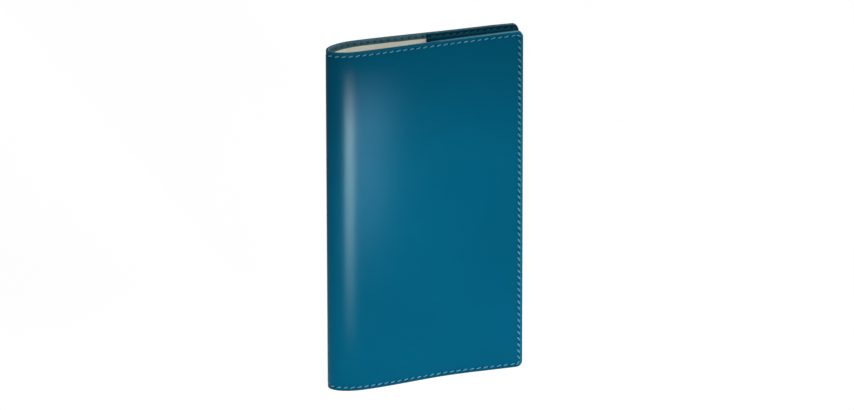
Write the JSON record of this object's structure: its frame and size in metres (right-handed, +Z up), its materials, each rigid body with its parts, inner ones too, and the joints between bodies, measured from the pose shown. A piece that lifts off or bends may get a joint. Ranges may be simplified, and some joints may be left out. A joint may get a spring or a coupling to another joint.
{
  "type": "pocket weekly planner",
  "caption": "Slim upright pocket planner: a sewn paper refill whose card cover is tucked into the pockets of a glossy stitched leather cover that opens flat.",
  "frame": {"origin": "centre of the footprint of the closed planner standing on its tail edge, on the surface that it stands on", "axes": "+Z up from tail to head, +X from the rounded spine to the fore edge, -Y out of the front cover and +Y out of the back cover"},
  "size_m": [0.093, 0.014, 0.176],
  "materials": {
    "cover_leather": "gloss",
    "cover_lining": "matte",
    "flap_leather": "satin",
    "card": "matte",
    "mull": "matte",
    "paper": "matte"
  },
  "bodies": {
    "spine": {"spine_leather": "cover_leather", "spine_lining": "cover_lining", "spine_card": "card", "spine_mull": "mull", "section_1_fold": "paper", "section_2_fold": "paper", "section_3_fold": "paper", "section_4_fold": "paper", "section_5_fold": "paper", "section_6_fold": "paper", "section_7_fold": "paper", "section_8_fold": "paper"},
    "front_cover": {"front_cover_leather": "cover_leather", "front_cover_lining": "cover_lining", "front_pocket_flap": "flap_leather", "front_card": "card"},
    "back_cover": {"back_cover_leather": "cover_leather", "back_cover_lining": "cover_lining", "back_pocket_flap": "flap_leather", "back_card": "card"},
    "section_1": {"section_1_leaves": "paper"},
    "section_2": {"section_2_leaves": "paper"},
    "section_3": {"section_3_leaves": "paper"},
    "section_4": {"section_4_leaves": "paper"},
    "section_5": {"section_5_leaves": "paper"},
    "section_6": {"section_6_leaves": "paper"},
    "section_7": {"section_7_leaves": "paper"},
    "section_8": {"section_8_leaves": "paper"}
  },
  "joints": [
    {"name": "front_cover_hinge", "type": "hinge", "parent": "spine", "child": "front_cover", "pos_m": [-0.04425, -0.00335, 0], "axis": [0, 0, -1], "range_deg": [0, 90]},
    {"name": "back_cover_hinge", "type": "hinge", "parent": "spine", "child": "back_cover", "pos_m": [-0.04425, 0.00376, 0], "axis": [0, 0, 1], "range_deg": [0, 90]},
    {"name": "section_1_turn", "type": "hinge", "parent": "spine", "child": "section_1", "pos_m": [-0.04071, -0.00162, 0], "axis": [0, 0, -1], "range_deg": [0, 90]},
    {"name": "section_2_turn", "type": "hinge", "parent": "spine", "child": "section_2", "pos_m": [-0.04036, -0.00128, 0], "axis": [0, 0, -1], "range_deg": [0, 90]},
    {"name": "section_3_turn", "type": "hinge", "parent": "spine", "child": "section_3", "pos_m": [-0.04002, -0.00093, 0], "axis": [0, 0, -1], "range_deg": [0, 90]},
    {"name": "section_4_turn", "type": "hinge", "parent": "spine", "child": "section_4", "pos_m": [-0.03967, -0.00059, 0], "axis": [0, 0, -1], "range_deg": [0, 90]},
    {"name": "section_5_turn", "type": "hinge", "parent": "spine", "child": "section_5", "pos_m": [-0.03967, 0.00094, 0], "axis": [0, 0, 1], "range_deg": [0, 90]},
    {"name": "section_6_turn", "type": "hinge", "parent": "spine", "child": "section_6", "pos_m": [-0.04002, 0.00128, 0], "axis": [0, 0, 1], "range_deg": [0, 90]},
    {"name": "section_7_turn", "type": "hinge", "parent": "spine", "child": "section_7", "pos_m": [-0.04036, 0.00163, 0], "axis": [0, 0, 1], "range_deg": [0, 90]},
    {"name": "section_8_turn", "type": "hinge", "parent": "spine", "child": "section_8", "pos_m": [-0.04071, 0.00197, 0], "axis": [0, 0, 1], "range_deg": [0, 90]}
  ],
  "couplings": [
    {"joint": "section_1_turn", "follows": "front_cover_hinge", "ratio": 0.98},
    {"joint": "section_2_turn", "follows": "front_cover_hinge", "ratio": 0.95},
    {"joint": "section_3_turn", "follows": "front_cover_hinge", "ratio": 0.92},
    {"joint": "section_4_turn", "follows": "front_cover_hinge", "ratio": 0.89},
    {"joint": "section_5_turn", "follows": "back_cover_hinge", "ratio": 0.89},
    {"joint": "section_6_turn", "follows": "back_cover_hinge", "ratio": 0.92},
    {"joint": "section_7_turn", "follows": "back_cover_hinge", "ratio": 0.95},
    {"joint": "section_8_turn", "follows": "back_cover_hinge", "ratio": 0.98}
  ]
}
